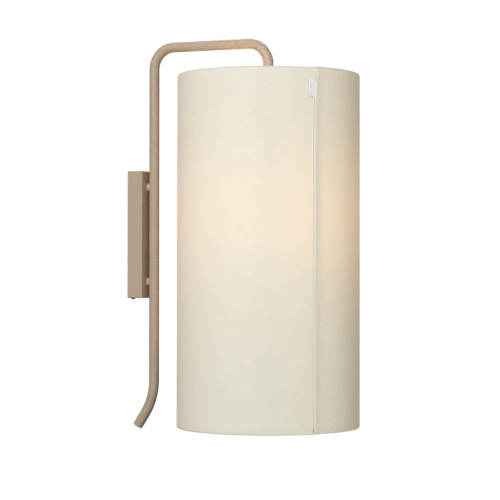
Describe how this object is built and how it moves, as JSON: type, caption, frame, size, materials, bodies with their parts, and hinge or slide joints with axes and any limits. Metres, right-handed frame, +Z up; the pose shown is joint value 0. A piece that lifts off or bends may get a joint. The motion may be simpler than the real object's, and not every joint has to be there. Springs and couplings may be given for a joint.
{
  "type": "wall light with fabric shade",
  "caption": "Wall light: a slim box carries a bent tube whose arm reaches over and hangs a tall cylindrical cloth shade round a bulb.",
  "frame": {"origin": "middle of the wall bracket's back, midway between its two slots, on the wall plane", "axes": "+Y into the wall, the light stands out towards -Y, +Z up, +X along the wall"},
  "size_m": [0.2864, 0.3798, 0.6203],
  "materials": {
    "powder_coat": "fine textured matt powder coat",
    "zinc_steel": "zinc plated",
    "screw_steel": "grey passivated",
    "holder_plastic": "moulded, matt",
    "terminal_plastic": "moulded",
    "bush_rubber": "soft, matt",
    "brass": "plain",
    "socket_metal": "nickel plated",
    "carrier_ceramic": "fired, matt",
    "bulb_metal": "rolled thread",
    "bulb_black": "glassy",
    "bulb_glass": "opal",
    "shade_cloth": "plain weave, matt",
    "shade_liner": "smooth sheet, satin",
    "lap_tape": "glued edge",
    "label_satin": "satin, bare",
    "white_wire": "coated wire",
    "lead_sheath": "smooth",
    "core_insulation": "smooth",
    "earth_insulation": "smooth"
  },
  "bodies": {
    "lamp_frame": {"block_screws": "zinc_steel", "cable_bush": "bush_rubber", "carrier_screws": "zinc_steel", "centre_contact": "brass", "clamp_screws": "zinc_steel", "contact_carrier": "carrier_ceramic", "cover_screw": "screw_steel", "earth_lug": "zinc_steel", "earth_screw": "zinc_steel", "earth_wire": "earth_insulation", "holder_body": "holder_plastic", "holder_cap": "holder_plastic", "holder_lock_nut": "zinc_steel", "holder_nipple": "zinc_steel", "housing": "powder_coat", "housing_hanger": "zinc_steel", "inner_lead": "lead_sheath", "lead_clamp": "terminal_plastic", "lead_clamp_screw": "zinc_steel", "lead_cores_lamp": "core_insulation", "lead_cores_wall": "core_insulation", "socket_shell": "socket_metal", "standoff_lower": "powder_coat", "standoff_upper": "powder_coat", "stud_nuts": "zinc_steel", "stud_washers": "zinc_steel", "tail_plug": "powder_coat", "terminal_block": "terminal_plastic", "terminal_sleeves": "brass", "tube_end_bush": "zinc_steel", "tube_frame": "powder_coat", "wall_bracket": "zinc_steel"},
    "shade": {"shade_cloth": "shade_cloth", "shade_liner": "shade_liner", "lap_turn_in": "shade_cloth", "lap_tape": "lap_tape", "hem_top": "shade_cloth", "hem_bottom": "shade_cloth", "shade_label": "label_satin", "shade_top_ring": "white_wire", "shade_bottom_ring": "white_wire", "spider_arms": "white_wire", "fitter_ring": "white_wire"},
    "ring_nut": {"shade_ring_nut": "holder_plastic"},
    "bulb": {"bulb_glass": "bulb_glass", "bulb_cap": "bulb_metal", "bulb_insulator": "bulb_black", "bulb_contact": "bulb_metal"}
  },
  "joints": [
    {"name": "shade_turn", "type": "hinge", "parent": "lamp_frame", "child": "shade", "pos_m": [0, -0.236, 0.11], "axis": [0, 0, 1], "continuous": true},
    {"name": "ring_nut_release", "type": "slide", "parent": "lamp_frame", "child": "ring_nut", "axis": [0, 0, -1], "range_m": [0, 0.03]},
    {"name": "bulb_withdraw", "type": "slide", "parent": "lamp_frame", "child": "bulb", "axis": [0, 0, -1], "range_m": [0, 0.03]}
  ]
}
